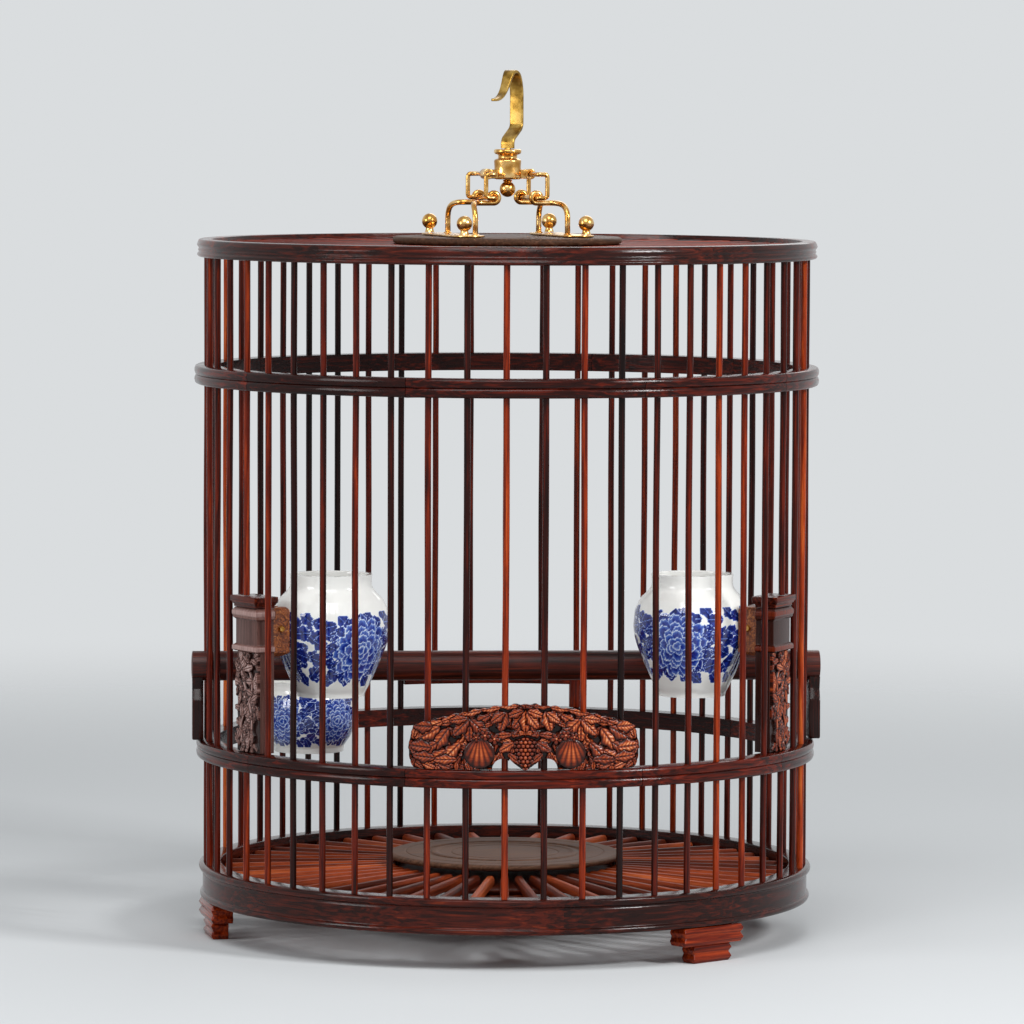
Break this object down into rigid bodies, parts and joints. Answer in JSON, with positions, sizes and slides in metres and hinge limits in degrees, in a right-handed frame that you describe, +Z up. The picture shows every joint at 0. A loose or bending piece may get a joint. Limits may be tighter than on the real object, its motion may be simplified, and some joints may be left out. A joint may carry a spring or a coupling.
{
  "type": "wooden birdcage",
  "caption": "Round flat-topped wooden birdcage with a radial slat floor and top, perch, hook-on porcelain cups, carved plaque, hinged door and a folding brass claw with a swivel hook.",
  "frame": {"origin": "centre of the footprint, on the plane that the feet stand on", "axes": "+Z up, the front with the plaque faces -Y, the perch runs along X"},
  "size_m": [0.358, 0.3544, 0.49],
  "materials": {
    "dark_rosewood": "polished",
    "red_rosewood": "polished",
    "floor_rosewood": "satin",
    "carved_wood": "satin",
    "brass": "polished",
    "porcelain": "glossy"
  },
  "bodies": {
    "cage": {"base_ring": "dark_rosewood", "foot_left": "red_rosewood", "foot_right": "red_rosewood", "foot_rear": "red_rosewood", "floor_board_long": "floor_rosewood", "floor_board_cross": "floor_rosewood", "floor_rods": "floor_rosewood", "floor_platform": "dark_rosewood", "bars_front": "red_rosewood", "bars_right_front": "red_rosewood", "bars_right_side": "red_rosewood", "bars_right_back": "red_rosewood", "bars_right_rear": "red_rosewood", "bars_door": "red_rosewood", "bars_left_rear": "red_rosewood", "bars_left_back": "red_rosewood", "bars_left_side": "red_rosewood", "bars_left_front": "red_rosewood", "top_ring": "dark_rosewood", "top_slats": "red_rosewood", "top_disc": "dark_rosewood", "post_left": "carved_wood", "post_right": "carved_wood", "post_cap_left": "dark_rosewood", "post_cap_right": "dark_rosewood", "cup_clip_left": "carved_wood", "cup_clip_right": "carved_wood", "cup_clip_low": "carved_wood", "clip_pin_left": "brass", "clip_pin_right": "brass", "clip_pin_low": "brass", "perch_bracket_left": "dark_rosewood", "perch_bracket_right": "dark_rosewood", "plaque": "carved_wood", "claw_base_left": "brass", "claw_base_right": "brass", "ball_nut_left_front": "brass", "ball_nut_left_back": "brass", "ball_nut_right_front": "brass", "ball_nut_right_back": "brass"},
    "door": {"door": "red_rosewood", "door_catch": "brass"},
    "perch": {"perch": "dark_rosewood"},
    "cup_left": {"cup_left": "porcelain"},
    "cup_right": {"cup_right": "porcelain"},
    "cup_low": {"cup_low": "porcelain"},
    "link_left": {"claw_link_left": "brass"},
    "link_right": {"claw_link_right": "brass"},
    "swivel": {"swivel_block": "brass"},
    "hook": {"hook": "brass", "hook_nut": "brass"}
  },
  "joints": [
    {"name": "door_hinge", "type": "hinge", "parent": "cage", "child": "door", "pos_m": [0.05253, 0.16168, 0.2], "axis": [0, 0, -1], "range_deg": [0, 110]},
    {"name": "perch_slide", "type": "slide", "parent": "cage", "child": "perch", "axis": [1, 0, 0], "range_m": [0, 0.37]},
    {"name": "cup_left_lift", "type": "slide", "parent": "cage", "child": "cup_left", "axis": [0, 0, 1], "range_m": [0, 0.03]},
    {"name": "cup_right_lift", "type": "slide", "parent": "cage", "child": "cup_right", "axis": [0, 0, 1], "range_m": [0, 0.03]},
    {"name": "cup_low_lift", "type": "slide", "parent": "cage", "child": "cup_low", "axis": [0, 0, 1], "range_m": [0, 0.03]},
    {"name": "link_left_swing", "type": "hinge", "parent": "cage", "child": "link_left", "pos_m": [-0.01221, -0.00268, 0.4178], "axis": [-0.2147, 0.9767, 0], "range_deg": [-20, 20]},
    {"name": "link_right_swing", "type": "hinge", "parent": "cage", "child": "link_right", "pos_m": [0.01221, 0.00268, 0.4178], "axis": [-0.2147, 0.9767, 0], "range_deg": [-20, 20]},
    {"name": "swivel_tilt", "type": "hinge", "parent": "link_left", "child": "swivel", "pos_m": [-0.01221, -0.00268, 0.4311], "axis": [-0.2147, 0.9767, 0], "range_deg": [-20, 20]},
    {"name": "hook_turn", "type": "hinge", "parent": "swivel", "child": "hook", "pos_m": [0, 0, 0.44], "axis": [0, 0, 1], "continuous": true}
  ],
  "couplings": [
    {"joint": "link_right_swing", "follows": "link_left_swing", "ratio": 1},
    {"joint": "swivel_tilt", "follows": "link_left_swing", "ratio": -1}
  ]
}
